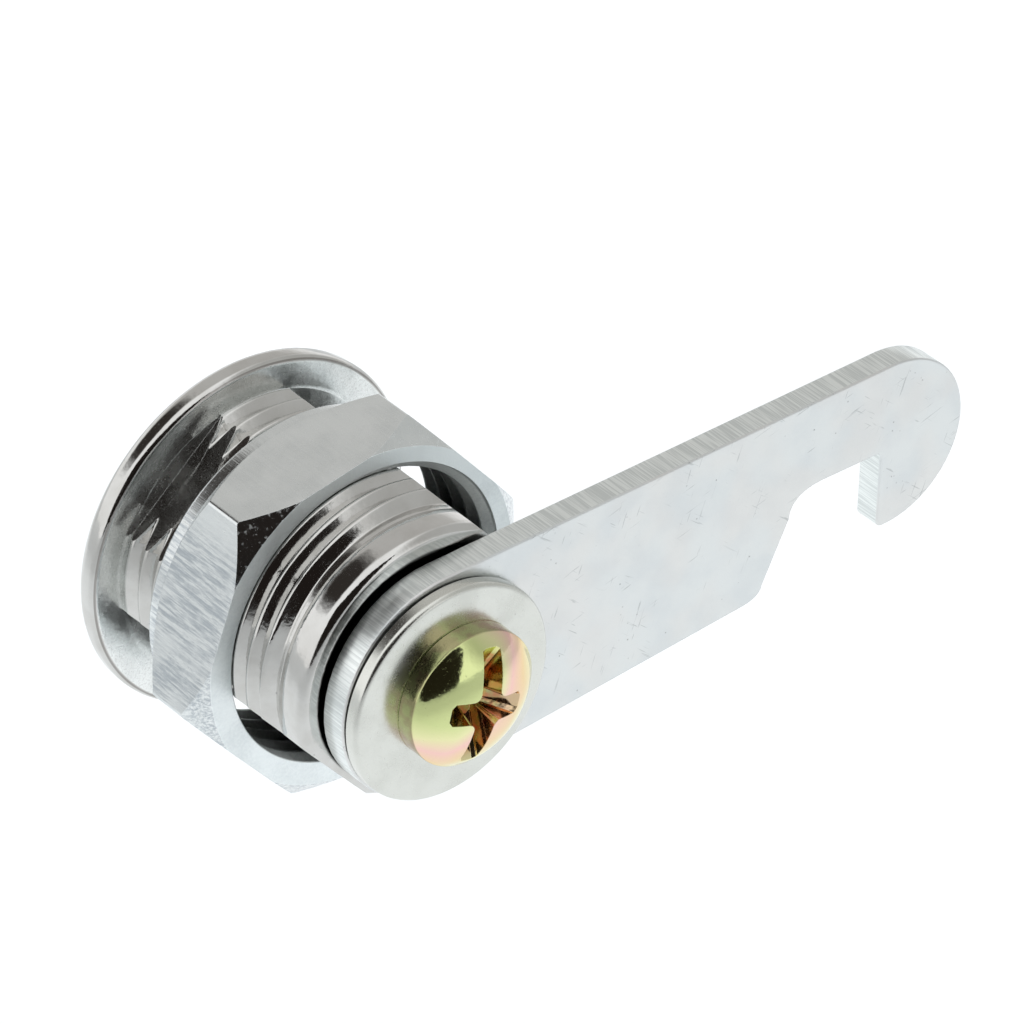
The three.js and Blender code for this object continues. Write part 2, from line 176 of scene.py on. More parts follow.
# ------------------------------------------------------------------ mesh helpers


def mesh_piece(name, points, faces):
    """A mesh object from points in millimetres."""
    mesh = bpy.data.meshes.new(name)
    mesh.from_pydata([Vector(p) * MM for p in points], [], faces)
    piece = bpy.data.objects.new(name, mesh)
    bpy.context.collection.objects.link(piece)
    return piece


def polar(radius, height, angle):
    """A point at an angle from +X towards +Z about the lock's axis."""
    return (radius * cos(angle), height, radius * sin(angle))


def tidy_mesh(piece, merge=0.002):
    """Joins doubled points, drops empty faces and turns every face outwards."""
    shape = bmesh.new()
    shape.from_mesh(piece.data)
    bmesh.ops.remove_doubles(shape, verts=shape.verts, dist=merge * MM)
    bmesh.ops.dissolve_degenerate(shape, edges=shape.edges, dist=merge * MM / 2)
    bmesh.ops.recalc_face_normals(shape, faces=shape.faces)
    shape.to_mesh(piece.data)
    shape.free()


def helix_goes_on(row, thread):
    """The row that a helical row goes on as, past the place where the helix starts again."""
    if row not in thread:
        return row
    return max(row - len(thread_phases()), thread.start)


def ring_solid(name, rows, columns=COLUMNS, thread=range(0)):
    """A closed ring from rows of functions angle -> (radius, height).

    thread holds the numbers of the rows that are helical.
    """
    angles = [tau * i / columns for i in range(columns)]
    points = [polar(*row(angle), angle) for row in rows for angle in angles]
    faces = []
    for i in range(columns):
        after = (i + 1) % columns
        new_start = (angles[i] - HELIX_START) % tau > (angles[after] - HELIX_START) % tau
        for j in range(len(rows)):
            k = (j + 1) % len(rows)
            near, far = (helix_goes_on(j, thread), helix_goes_on(k, thread)) if new_start else (j, k)
            corners = (j * columns + i, near * columns + after, far * columns + after, k * columns + i)
            corners = tuple(dict.fromkeys(corners))
            if len(corners) > 2:
                faces.append(corners)
    piece = mesh_piece(name, points, faces)
    tidy_mesh(piece)
    return piece


def plain_row(radius, height):
    """A row of a ring that lies level."""
    return lambda angle: (radius, height)


def turned(name, profile, columns=COLUMNS):
    """A ring turned from a closed list of (radius, height)."""
    return ring_solid(name, [plain_row(r, y) for r, y in profile], columns)


def turned_core(name, profile, columns=COLUMNS):
    """A solid turned from an open list of (radius, height) that starts and ends near the axis."""
    points = [polar(r, y, tau * i / columns) for r, y in profile for i in range(columns)]
    faces = []
    for j in range(len(profile) - 1):
        here, above = j * columns, (j + 1) * columns
        for i in range(columns):
            after = (i + 1) % columns
            faces.append((here + i, here + after, above + after, above + i))
    faces.append(tuple(range(columns)))
    faces.append(tuple(range((len(profile) - 1) * columns, len(profile) * columns)))
    piece = mesh_piece(name, points, faces)
    tidy_mesh(piece)
    return piece


def arc(centre_r, centre_y, radius, start, end, steps):
    """Points of an arc in the (radius, height) plane, angles in degrees."""
    angles = [radians(start + (end - start) * i / steps) for i in range(steps + 1)]
    return [(centre_r + radius * cos(a), centre_y + radius * sin(a)) for a in angles]


def prism(name, outline, bottom, top):
    """A solid between two outlines of (x, z) points at two heights along Y."""
    lower, upper = outline
    count = len(lower)
    points = [(x, bottom, z) for x, z in lower] + [(x, top, z) for x, z in upper]
    faces = [tuple(range(count)), tuple(range(count, 2 * count))]
    for i in range(count):
        after = (i + 1) % count
        faces.append((i, after, count + after, count + i))
    piece = mesh_piece(name, points, faces)
    tidy_mesh(piece)
    return piece


def turned_block(name, low_corner, high_corner, angle):
    """A box in a frame whose first axis points at an angle about the lock's axis."""
    along = Vector((cos(angle), 0, sin(angle)))
    across = Vector((-sin(angle), 0, cos(angle)))
    rise = Vector((0, 1, 0))
    points = []
    for a in (low_corner[0], high_corner[0]):
        for y in (low_corner[1], high_corner[1]):
            for b in (low_corner[2], high_corner[2]):
                points.append(along * a + rise * y + across * b)
    faces = [(0, 1, 3, 2), (4, 6, 7, 5), (0, 4, 5, 1), (2, 3, 7, 6), (0, 2, 6, 4), (1, 5, 7, 3)]
    piece = mesh_piece(name, points, faces)
    tidy_mesh(piece)
    return piece


def bake_modifiers(piece):
    """Applies a piece's modifiers to its mesh."""
    graph = bpy.context.evaluated_depsgraph_get()
    made = bpy.data.meshes.new_from_object(piece.evaluated_get(graph))
    piece.modifiers.clear()
    piece.data = made


def combine(piece, tools, operation="DIFFERENCE"):
    """Cuts a piece with closed tools, or keeps what it shares with them."""
    for tool in tools:
        cutter = piece.modifiers.new("cut", "BOOLEAN")
        cutter.operation = operation
        cutter.solver = "MANIFOLD"
        cutter.object = tool
        bake_modifiers(piece)
        bpy.data.objects.remove(tool)
    if not piece.data.polygons:
        raise RuntimeError(piece.name + " is empty after cutting")


def smooth_sides(piece, limit=32):
    """Smooth shading, with sharp edges where faces meet at more than the limit in degrees.

    The large flat faces, which have many corners, stay flat.
    """
    shape = bmesh.new()
    shape.from_mesh(piece.data)
    for face in shape.faces:
        face.smooth = len(face.verts) <= 4
    for edge in shape.edges:
        if len(edge.link_faces) == 2:
            edge.smooth = edge.calc_face_angle() < radians(limit)
    shape.to_mesh(piece.data)
    shape.free()


def refined_copy(node, name, bevel=0.0, segments=2):
    """A copy of a CAD node with merged flat faces, rounded edges and smooth sides."""
    piece = bpy.data.objects.new(name, frame["nodes"][node].data.copy())
    piece.data.materials.clear()
    bpy.context.collection.objects.link(piece)
    shape = bmesh.new()
    shape.from_mesh(piece.data)
    bmesh.ops.remove_doubles(shape, verts=shape.verts, dist=0.001 * MM)
    bmesh.ops.dissolve_limit(
        shape, angle_limit=radians(1), verts=shape.verts, edges=shape.edges
    )
    shape.to_mesh(piece.data)
    shape.free()
    if bevel:
        rounding = piece.modifiers.new("round", "BEVEL")
        rounding.width = bevel * MM
        rounding.segments = segments
        rounding.limit_method = "ANGLE"
        rounding.angle_limit = radians(40)
        rounding.harden_normals = False
        bake_modifiers(piece)
    smooth_sides(piece)
    return piece


def dress(piece, material, slot, body, *nodes):
    """Gives a piece its material, hides the CAD nodes that it stands in for and hangs it on the body
    that it rides on.
    """
    piece.data.materials.clear()
    piece.data.materials.append(material)
    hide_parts(*nodes)
    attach(piece, body)


# ------------------------------------------------------------------ housing


def thread_drop(offset):
    """How far a rounded 60 degree thread falls from its crest, at a distance along the axis."""
    offset = abs((offset + PITCH / 2) % PITCH - PITCH / 2)
    slope = THREAD_FLANK
    crest_end = CREST_ROUND * sin(slope)
    root_start = PITCH / 2 - ROOT_ROUND * sin(slope)
    if offset < crest_end:
        return CREST_ROUND * (1 - cos(asin(offset / CREST_ROUND)))
    flank_top = CREST_ROUND * (1 - cos(slope))
    if offset < root_start:
        return flank_top + (offset - crest_end) * sin(slope) / cos(slope)
    flank_bottom = flank_top + (root_start - crest_end) * sin(slope) / cos(slope)
    rise = ROOT_ROUND * (cos(asin((PITCH / 2 - offset) / ROOT_ROUND)) - cos(slope))
    return flank_bottom + rise


def thread_phases():
    """Stations within one pitch, measured from a crest, close together on the rounds."""
    slope = sin(THREAD_FLANK)
    crest = [CREST_ROUND * slope * k / 2 for k in range(-2, 3)]
    root = [PITCH / 2 + ROOT_ROUND * slope * k / 2 for k in range(-2, 3)]
    return crest + root


def thread_row(turn, phase, end, first_crest, radius_of):
    """One helical row of a right-handed thread, held inside the threaded length."""

    def row(angle):
        fall = ((angle - HELIX_START) % tau) / tau * PITCH
        height = first_crest + turn * PITCH + phase - fall
        height = min(max(height, end[0]), end[1])
        crest_offset = height - first_crest + fall
        return radius_of(thread_drop(crest_offset), height), height

    return row


def smooth_step(value, start, end):
    """Eases from 0 at the start to 1 at the end."""
    t = min(max((value - start) / (end - start), 0), 1)
    return t * t * (3 - 2 * t)


def thread_rows(length, first_crest, radius_of):
    """Helical rows that cover the threaded length, from its low to its high end."""
    turns = int((length[1] - length[0]) / PITCH) + 2
    rows = []
    for turn in range(-1, turns + 1):
        for phase in thread_phases():
            rows.append(thread_row(turn, phase, length, first_crest, radius_of))
    return rows


def barrel_radius(drop, height):
    """The thread's radius, which runs out into a plain groove before the end band."""
    left = 1 - smooth_step(height, THREAD_FADE, THREAD_GONE)
    return ROOT_RADIUS + (THREAD_RADIUS - ROOT_RADIUS - drop) * left


def bore_cutters():
    """The wafers' four grooves, the retainer's round groove and the stop lug's pocket."""
    cutters = []
    for side in range(4):
        end = BARREL_END + OVER if side == 2 else GROOVE_END
        low_corner = (0, GROOVE_START, -GROOVE_HALF_WIDTH)
        high_corner = (GROOVE_RADIUS, end, GROOVE_HALF_WIDTH)
        cutters.append(turned_block("groove", low_corner, high_corner, FLATS_TURN + side * pi / 2))
    cutters.append(turned_core("retainer_groove", RETAINER_GROOVE, columns=96))
    pocket = [(0, 0)]
    steps = 30
    for i in range(steps + 1):
        angle = POCKET_START + (POCKET_END - POCKET_START) * i / steps
        pocket.append((POCKET_RADIUS * cos(angle), POCKET_RADIUS * sin(angle)))
    cutters.append(prism("pocket", (pocket, pocket), BARREL_END - POCKET_DEPTH, BARREL_END + OVER))
    return cutters


def flat_cutters():
    """The two long flats, and the two short ones next to the flange."""
    sides = [
        (FLATS_TURN - pi / 2, LONG_FLATS, FAR),
        (FLATS_TURN + pi / 2, LONG_FLATS, FAR),
        (FLATS_TURN, SHORT_FLATS, SHORT_FLAT_END),
        (FLATS_TURN + pi, SHORT_FLATS, SHORT_FLAT_END),
    ]
    return [
        turned_block("flat", (distance, FLATS_START, -FAR), (FAR, end, FAR), side)
        for side, distance, end in sides
    ]


def flange_profile():
    """From the plug's seat over the domed face and the rim to the thread's foot."""
    profile = [(SEAT_RADIUS, FLANGE_FRONT + SEAT_DEPTH), (SEAT_RADIUS, FLANGE_FRONT + SEAT_EDGE)]
    profile += [(SEAT_RADIUS + SEAT_EDGE, FLANGE_FRONT)]
    dome_depth = -FLANGE_FRONT - FLANGE_RIM
    steps = 24
    for i in range(steps + 1):
        angle = pi / 2 * i / steps
        radius = FACE_RADIUS + (FLANGE_RADIUS - FACE_RADIUS) * sin(angle)
        profile.append((radius, -FLANGE_RIM - dome_depth * cos(angle)))
    profile += arc(FLANGE_RADIUS - RIM_ROUND, -RIM_ROUND, RIM_ROUND, 0, 90, steps=8)
    return profile + [(THREAD_RADIUS + gap, 0) for gap in BACK_ROWS]


def band_profile():
    """From the thread's last groove over the end band and its lip into the bore."""
    end = BARREL_END - BAND_EDGE
    profile = [(ROOT_RADIUS, BAND_START)]
    profile += [(BAND_RADIUS - inset, BAND_START + rise) for inset, rise in BAND_CORNER]
    profile += [(BAND_RADIUS, (BAND_START + end) / 2)]
    profile += arc(BAND_RADIUS - BAND_EDGE, end, BAND_EDGE, 0, 90, steps=8)
    return profile + [(BORE_RADIUS, BARREL_END), (BORE_RADIUS, FLANGE_FRONT + SEAT_DEPTH)]


def make_housing():
    """Flange, threaded barrel and end band, with the flats cut and the bore open."""
    rows = [plain_row(r, y) for r, y in flange_profile()]
    thread_start = len(rows)
    rows += thread_rows((THREAD_START, THREAD_END), FIRST_CREST, barrel_radius)
    thread = range(thread_start, len(rows))
    rows += [plain_row(r, y) for r, y in band_profile()]
    housing = ring_solid("housing_body", rows, COLUMNS, thread)
    combine(housing, flat_cutters() + bore_cutters())
    smooth_sides(housing, limit=38)
    return housing


# ------------------------------------------------------------------ nut, cam, washer, screw


def rounded_hexagon(inner, corner_round, steps=5):
    """Outline of a hexagon with rounded corners, as (x, z) points."""
    outline = []
    reach = (inner - corner_round) / cos(pi / 6)
    for k in range(6):
        corner = NUT_CORNER + k * pi / 3
        for i in range(steps):
            angle = corner + (i / (steps - 1) - 0.5) * pi / 3
            x = reach * cos(corner) + corner_round * cos(angle)
            z = reach * sin(corner) + corner_round * sin(angle)
            outline.append((x, z))
    return outline


def nut_radius(drop, height):
    """The nut's own thread: its crest faces inwards."""
    return NUT_BORE + (NUT_THREAD_DEPTH - drop) * NUT_THREAD_FLATNESS


def nut_turning():
    """The solid that the nut is turned to: round collar, chamfered back and front."""
    shoulder = NUT_BACK + NUT_COLLAR
    wide = NUT_FLATS / cos(pi / 6) + 0.2  # a little past the hexagon's corners
    corner = (NUT_COLLAR_RADIUS - NUT_COLLAR_ROUND, NUT_BACK + NUT_COLLAR_ROUND)
    profile = [(CORE, NUT_BACK)]
    profile += arc(*corner, NUT_COLLAR_ROUND, -90, 0, steps=5)
    profile += [
        (NUT_COLLAR_RADIUS, shoulder),
        (NUT_FLATS, shoulder),
        (wide, shoulder + wide - NUT_FLATS),
        (wide, NUT_FRONT - wide + NUT_FACE_RADIUS),
        (NUT_FACE_RADIUS + NUT_FACE_EDGE, NUT_FRONT - NUT_FACE_EDGE),
        (NUT_FACE_RADIUS - NUT_FACE_EDGE / 2, NUT_FRONT),
        (CORE, NUT_FRONT),
    ]
    return turned_core("nut_turning", profile)


def nut_bore():
    """The threaded hole, as a ring with its mouths widened."""
    back, front = NUT_BACK - OVER, NUT_FRONT + OVER
    mouth = NUT_BORE + NUT_SINK + OVER
    rows = [plain_row(CORE, back), plain_row(mouth, back)]
    thread_start = len(rows)
    inside = (NUT_BACK + NUT_SINK / 2, NUT_FRONT - NUT_SINK / 2)
    rows += thread_rows(inside, NUT_BACK, nut_radius)
    thread = range(thread_start, len(rows))
    rows += [plain_row(mouth, front), plain_row(CORE, front)]
    return ring_solid("nut_bore", rows, SMALL_COLUMNS, thread)


def make_nut():
    """Hexagonal nut with chamfered face, low collar and a threaded bore."""
    outline = rounded_hexagon(NUT_FLATS, NUT_CORNER_ROUND)
    nut = prism("nut_body", (outline, outline), NUT_BACK, NUT_FRONT)
    combine(nut, [nut_turning()], "INTERSECT")
    combine(nut, [nut_bore()])
    hole = 4 * CORE  # takes out the middle that the bore's ring leaves
    ends = [(hole, NUT_BACK - 2 * OVER), (hole, NUT_FRONT + 2 * OVER)]
    combine(nut, [turned_core("nut_hole", ends, columns=32)])
    smooth_sides(nut, limit=30)
    return nut


def make_washer():
    """Plain washer with a rolled front edge."""
    middle = (washer_low + washer_high) / 2
    radius = (washer_high.x - washer_low.x) / 2
    bottom, top = washer_low.y, washer_high.y
    edge_start = radius - WASHER_EDGE
    profile = [(WASHER_HOLE, top - WASHER_HOLE_EDGE), (WASHER_HOLE, bottom)]
    profile += [(radius - WASHER_FOOT, bottom), (radius, bottom + WASHER_FOOT)]
    profile += arc(edge_start, top - WASHER_EDGE, WASHER_EDGE, 0, 90, steps=7)
    profile += [(radius - WASHER_FACE, top), (WASHER_HOLE + WASHER_HOLE_EDGE, top)]
    washer = turned("washer_body", profile)
    for vertex in washer.data.vertices:
        vertex.co += Vector((middle.x, 0, middle.z)) * MM
    smooth_sides(washer)
    return washer


def cross_outline(long_reach, short_reach, width, corner_round):
    """Outline of the cross recess, arms turned to their place, as (x, z) points."""
    half = width / 2
    outline = []
    for k in range(4):
        turn = RECESS_TURN + k * pi / 2
        reach = (long_reach, short_reach)[k % 2]
        tip = min(half * 0.45, 0.3)
        arm = [(reach - tip, -half), (reach, -half + tip), (reach, half - tip), (reach - tip, half)]
        centre = half + corner_round
        for i in range(6):
            angle = -pi / 2 - pi / 2 * i / 5
            arm.append((centre + corner_round * cos(angle), centre + corner_round * sin(angle)))
        for a, b in arm:
            outline.append((a * cos(turn) - b * sin(turn), a * sin(turn) + b * cos(turn)))
    return outline


def dome_height(radius):
    """Height of the screw head's dome at a distance from its axis."""
    return HEAD_TOP - HEAD_BULGE * (1 - sqrt(1 - (radius / BULGE_RADIUS) ** 2))


def mouth_reach(floor_reach, reach):
    """How far an arm must reach at the mouth's height to run out on the dome at this reach."""
    floor = HEAD_TOP - RECESS_DEPTH
    slope = (reach - floor_reach) / (dome_height(reach) - floor)
    return floor_reach + slope * (RECESS_DEPTH + OVER / 2)


def recess():
    """The cross recess, which narrows towards its floor."""
    long_mouth = mouth_reach(LONG_ARM_FLOOR, LONG_ARM)
    short_mouth = mouth_reach(SHORT_ARM_FLOOR, SHORT_ARM)
    mouth = cross_outline(long_mouth, short_mouth, width=1.62, corner_round=0.55)
    floor = cross_outline(LONG_ARM_FLOOR, SHORT_ARM_FLOOR, width=1.0, corner_round=0.12)
    return prism("recess", (floor, mouth), HEAD_TOP - RECESS_DEPTH, HEAD_TOP + OVER / 2)


def make_screw():
    """Pan-head screw with a cross recess of two long and two short arms."""
    steps = 20
    tip = 0.05
    radii = [HEAD_EDGE * (1 - i / steps) for i in range(steps)]
    dome = [(radius, dome_height(radius)) for radius in radii] + [(tip, HEAD_TOP)]
    rim = dome_height(HEAD_EDGE)
    end = screw_low.y
    profile = [(tip, end), (SHANK_RADIUS - SHANK_CHAMFER, end)]
    profile += [(SHANK_RADIUS, end + SHANK_CHAMFER), (SHANK_RADIUS, HEAD_BACK)]
    profile += [(HEAD_RADIUS - HEAD_CHAMFER, HEAD_BACK), (HEAD_RADIUS, HEAD_BACK + HEAD_CHAMFER)]
    profile += [(HEAD_RADIUS, HEAD_BACK + HEAD_SIDE)]
    profile += [(HEAD_RADIUS - inset, rim - drop) for inset, drop in HEAD_RIM]
    screw = turned_core("screw_body", profile + dome, SMALL_COLUMNS)
    combine(screw, [recess()])
    smooth_sides(screw, limit=28)
    return screw


# ------------------------------------------------------------------ materials


class Nodes:
    """Short calls for building a node tree."""

    def __init__(self, tree):
        self.tree = tree

    def add(self, kind, inputs=(), **settings):
        """A new node with these inputs, values or sockets, and these settings."""
        node = self.tree.nodes.new("ShaderNode" + kind)
        for key, value in settings.items():
            setattr(node, key, value)
        for key, value in dict(inputs).items():
            self.put(node.inputs[key], value)
        return node

    def put(self, socket, value):
        """Gives a socket a plain value, or a link from another socket."""
        if isinstance(value, bpy.types.NodeSocket):
            self.tree.links.new(value, socket)
        else:
            socket.default_value = value

    def math(self, operation, first, second=0.0, third=0.0):
        """The result of a sum on values or sockets."""
        node = self.add("Math", operation=operation)
        for socket, value in zip(node.inputs, (first, second, third)):
            self.put(socket, value)
        return node.outputs[0]

    def times(self, first, second):
        return self.math("MULTIPLY", first, second)

    def stretch(self, vector, scale):
        """Coordinates scaled by a different amount along each axis."""
        node = self.add("Mapping", {"Vector": vector, "Scale": scale})
        return node.outputs[0]

    def noise(self, vector, size, detail=3.0, roughness=0.55):
        """Noise whose features are about this many millimetres across."""
        inputs = {
            "Vector": vector,
            "Scale": 1 / (size * MM),
            "Detail": detail,
            "Roughness": roughness,
        }
        return self.add("TexNoise", inputs).outputs[0]

    def pits(self, vector, size):
        """Distance to scattered points about this many millimetres apart."""
        node = self.add("TexVoronoi", {"Vector": vector, "Scale": 1 / (size * MM)})
        return node.outputs["Distance"]

    def fit(self, value, low_in, high_in, low_out=0.0, high_out=1.0):
        """A value mapped from one range to another, eased and held at its ends."""
        inputs = {1: low_in, 2: high_in, 3: low_out, 4: high_out}
        node = self.add("MapRange", inputs, interpolation_type="SMOOTHSTEP")
        self.put(node.inputs[0], value)
        return node.outputs[0]

    def blend(self, factor, first, second):
        """A colour between two colours."""
        node = self.add("Mix", data_type="RGBA")
        self.put(node.inputs[0], factor)
        self.put(node.inputs[6], first)
        self.put(node.inputs[7], second)
        return node.outputs[2]

    def scratches(self, place, turn, size):
        """A few thin lines that run one way on the faces across the lock's axis."""
        rotation = (0, radians(turn), 0)
        turned_place = self.add("Mapping", {"Vector": place, "Rotation": rotation}).outputs[0]
        lines = self.noise(self.stretch(turned_place, (1, 1, 0.06)), size, 2)
        here = self.fit(self.noise(place, 2.2, 1), 0.5, 0.62)
        return self.times(self.fit(lines, 0.66, 0.7), here)

    def height(self, place):
        """Distance along the lock's axis, in millimetres."""
        return self.times(self.add("SeparateXYZ", {"Vector": place}).outputs[1], 1 / MM)

    def radius(self, place, middle=(0, 0)):
        """Distance from a line along the lock's axis, in millimetres."""
        inputs = {0: place, 1: (1 / MM, 0, 1 / MM), 2: (-middle[0], 0, -middle[1])}
        flat = self.add("VectorMath", inputs, operation="MULTIPLY_ADD").outputs[0]
        return self.add("VectorMath", {0: flat}, operation="LENGTH").outputs["Value"]

    def between(self, value, start, end, soft):
        """One where a value lies between two limits, with soft ends."""
        above = self.fit(value, start - soft, start)
        return self.times(above, self.fit(value, end, end + soft, 1.0, 0.0))

    def bump(self, height, depth, normal):
        """A normal with bumps of this depth in millimetres on top of another normal."""
        inputs = {"Height": height, "Distance": depth * MM, "Strength": 1.0, "Normal": normal}
        return self.add("Bump", inputs).outputs[0]

    def soft_edge(self, reach):
        """A normal that rounds the edges over this many millimetres."""
        return self.add("Bevel", {"Radius": reach * MM}, samples=4).outputs[0]


def colour(red, green, blue):
    return (red, green, blue, 1.0)


PIT_SPACING = 0.5
PIT_DEPTH = 0.02
PIT_DARK = colour(0.06, 0.06, 0.06)

# What single places of a metal are tinted with.
BACK_PALE = colour(0.84, 0.86, 0.85)
BACK_GREY = colour(0.50, 0.51, 0.50)
RIM_DARK = colour(0.07, 0.05, 0.04)
# painted shade inside the barrel's end face, where the cam's shadow falls
END_PAINTED_SHADE = colour(0.03, 0.03, 0.03)
STREAK_GREY = colour(0.46, 0.50, 0.53)
# pale matt nut faces; on the back face, which lies in shade, this is partly painted light
NUT_FACE_PALE = colour(0.86, 0.91, 0.92)
# painted light that lightens the shaded bore of the nut
NUT_BORE_PAINTED_LIGHT = colour(0.90, 0.94, 0.94)
SHIMMER = colour(0.745, 0.73, 0.71)
SCRATCH_GREY = colour(0.36, 0.38, 0.38)
SCRATCH_TURNS = (20, 75, 130)  # directions of the scratches on the cam, in degrees
SHEAR_PALE = colour(0.86, 0.90, 0.89)
SHEAR_GREY = colour(0.46, 0.50, 0.50)
RUST = colour(0.56, 0.22, 0.10)
OLIVE = colour(0.44, 0.46, 0.18)
BROWN = colour(0.36, 0.26, 0.18)
DULL_OLIVE = colour(0.42, 0.44, 0.22)

# The film on the screw: colours by distance from a spot near the head's edge.
FILM_MIDDLE = (2.4, 2.6)
FILM_REACH = 9.0
GREEN = colour(0.66, 0.73, 0.34)
STRAW = colour(0.80, 0.78, 0.44)
PINK = colour(0.88, 0.58, 0.52)
ORANGE = colour(0.84, 0.64, 0.36)
FILM = [(0.3, GREEN), (0.4, STRAW), (0.52, PINK), (0.66, ORANGE), (0.76, STRAW), (0.86, PINK)]


def metal_output(n, tone, rough, normal):
    """A bare metal surface from its colour, gloss and normal."""
    inputs = {"Base Color": tone, "Metallic": 1.0, "Roughness": rough, "Normal": normal}
    shader = n.add("BsdfPrincipled", inputs)
    out = n.add("OutputMaterial")
    n.tree.links.new(shader.outputs[0], out.inputs[0])


def blank_material(name):
    """A material with an empty node tree, and the coordinates of the piece it is on."""
    material = bpy.data.materials.new(name)
    material.use_nodes = True
    material.node_tree.nodes.clear()
    n = Nodes(material.node_tree)
    return material, n, n.add("TexCoord").outputs["Object"]


def pit_field(n, place, share):
    """Small round pits in patches; a larger share puts them on more of the surface."""
    pit = n.fit(n.pits(place, PIT_SPACING), 0.0, 0.16, 1.0, 0.0)
    here = n.fit(n.noise(place, 1.1, 2), 1 - share, 1 - share + 0.08)
    return n.times(pit, here)


def plated_metal(
    name,
    bright,
    dull,
    roughness,
    grain=(1, 1, 1),
    grain_size=0.09,
    grain_depth=0.0,
    orange_peel=0.0,
    pit_share=0.0,
    edge=0.04,
    touch=None,
):
    """A plated metal: clouded colour and gloss, directional grain, soft waves, pits, soft edges.

    roughness is the gloss from the best polished to the dullest spots, grain stretches the
    machining marks along the axis that has the smallest number, and touch changes the
    colour and gloss of single places.
    """
    material, n, place = blank_material(name)
    cloud = n.fit(n.noise(place, 2.5, 4), 0.35, 0.7)
    speck = n.fit(n.noise(place, 0.12, 2), 0.62, 0.72)
    pit = pit_field(n, place, pit_share)
    marks = n.noise(n.stretch(place, grain), grain_size, 3, 0.7)
    scratch = n.fit(marks, 0.66, 0.74)
    tone = n.blend(cloud, bright, dull)
    tone = n.blend(n.times(pit, 0.75), tone, PIT_DARK)
    tone = n.blend(n.times(scratch, 0.25 if grain_depth else 0.0), tone, dull)
    rough = n.fit(cloud, 0, 1, roughness[0], roughness[1])
    rough = n.math("ADD", rough, n.times(speck, 0.12))
    if touch:
        tone, rough = touch(n, place, tone, rough)
    normal = n.bump(n.noise(place, 0.9, 2), orange_peel, n.soft_edge(edge))
    normal = n.bump(n.noise(place, 0.3, 2), orange_peel / 4, normal)
    normal = n.bump(marks, grain_depth, normal)
    metal_output(n, tone, rough, n.bump(pit, -PIT_DEPTH, normal))
    return material


def chrome_touch(n, place, tone, rough):
    """The flange's matt back, the dark line round its rim and the painted shade that darkens the
    inside of the end face, under the cam.
    """
    height = n.height(place)
    radius = n.radius(place)
    mottle = n.fit(n.noise(place, 0.14, 2), 0.5, 0.66, 0.0, 0.35)
    mottle = n.math("MULTIPLY_ADD", n.fit(n.noise(place, 3.5, 2), 0.4, 0.6), 0.25, mottle)
    back = n.between(height, -0.01, 0.013, 0.006)
    tone = n.blend(back, tone, n.blend(mottle, BACK_PALE, BACK_GREY))
    rough = n.math("ADD", rough, n.times(back, 0.13))
    rim = n.times(n.between(height, -0.09, -0.04, 0.02), n.fit(radius, 11.0, 11.2))
    # painted shade: the end face's inner ring under the cam is darkened to stand in for the shadow in
    # the gap
    end = n.fit(height, BARREL_END - 0.06, BARREL_END - 0.02)
    end = n.times(end, n.fit(radius, 7.5, 7.7, 1.0, 0.0))
    tone = n.blend(n.times(rim, 0.5), tone, RIM_DARK)
    tone = n.blend(n.times(end, 0.9), tone, END_PAINTED_SHADE)
    return tone, rough


def nut_touch(n, place, tone, rough):
    """Streaks on the nut's sides, a specked glossy chamfer, duller pale faces and bore; the pale tone
    is painted light in the bore and partly painted light on the shaded back face.
    """
    height = n.height(place)
    chamfer_line = NUT_FRONT + NUT_FACE_RADIUS
    chamfer = n.fit(n.math("ADD", height, n.radius(place)), chamfer_line - 0.06, chamfer_line - 0.03)
    half = (NUT_FRONT - NUT_BACK) / 2
    from_middle = n.math("ABSOLUTE", n.math("SUBTRACT", height, NUT_BACK + half))
    face = n.fit(from_middle, half - 0.03, half - 0.01)
    streak = n.fit(n.noise(n.stretch(place, (1, 0.08, 1)), 0.2, 4, 0.75), 0.38, 0.62)
    patch = n.fit(n.noise(place, 2.6, 3), 0.38, 0.54, 0.4, 1.0)
    top = n.fit(n.add("SeparateXYZ", {"Vector": place}).outputs[2], 6.5 * MM, 8.5 * MM, 1.0, 0.1)
    streak = n.times(n.times(streak, patch), top)
    tone = n.blend(streak, tone, STREAK_GREY)
    # matt pale faces; on the back face, which lies in shade, the pale tone is also painted light
    tone = n.blend(n.times(face, 0.8), tone, NUT_FACE_PALE)
    speck = n.fit(n.noise(place, 0.3, 4), 0.52, 0.7)
    bore = n.fit(n.radius(place), NUT_ROOT, NUT_ROOT + 0.1, 1.0, 0.0)
    bore = n.times(bore, n.fit(face, 0, 1, 1.0, 0.0))
    # painted light: a pale tone lightens the shaded bore
    tone = n.blend(n.times(bore, 0.7), tone, NUT_BORE_PAINTED_LIGHT)
    rough = n.math("MULTIPLY_ADD", bore, 0.3, rough)
    rough = n.times(rough, n.fit(chamfer, 0, 1, 1.0, 0.55))
    rough = n.math("MULTIPLY_ADD", n.times(chamfer, speck), 0.3, rough)
    return tone, n.math("MULTIPLY_ADD", face, 0.22, rough)


def cam_touch(n, place, tone, rough):
    """Shear marks across the cam's thickness, and a face with a faint shimmer and scratches."""
    height = n.height(place)
    side = n.between(height, cam_low.y + 0.12, cam_high.y - 0.16, 0.08)
    shimmer = n.fit(n.noise(place, 6.0, 2), 0.42, 0.62)
    shear = n.fit(n.noise(n.stretch(place, (1, 0.03, 1)), 0.13, 2), 0.4, 0.6)
    tone = n.blend(n.times(shimmer, 0.5), tone, SHIMMER)
    for turn in SCRATCH_TURNS:
        line = n.times(n.scratches(place, turn, 0.16), 0.5)
        tone = n.blend(line, tone, SCRATCH_GREY)
    tone = n.blend(side, tone, SHEAR_PALE)
    shear = n.times(n.times(side, shear), 0.45)
    tone = n.blend(shear, tone, SHEAR_GREY)
    return tone, rough


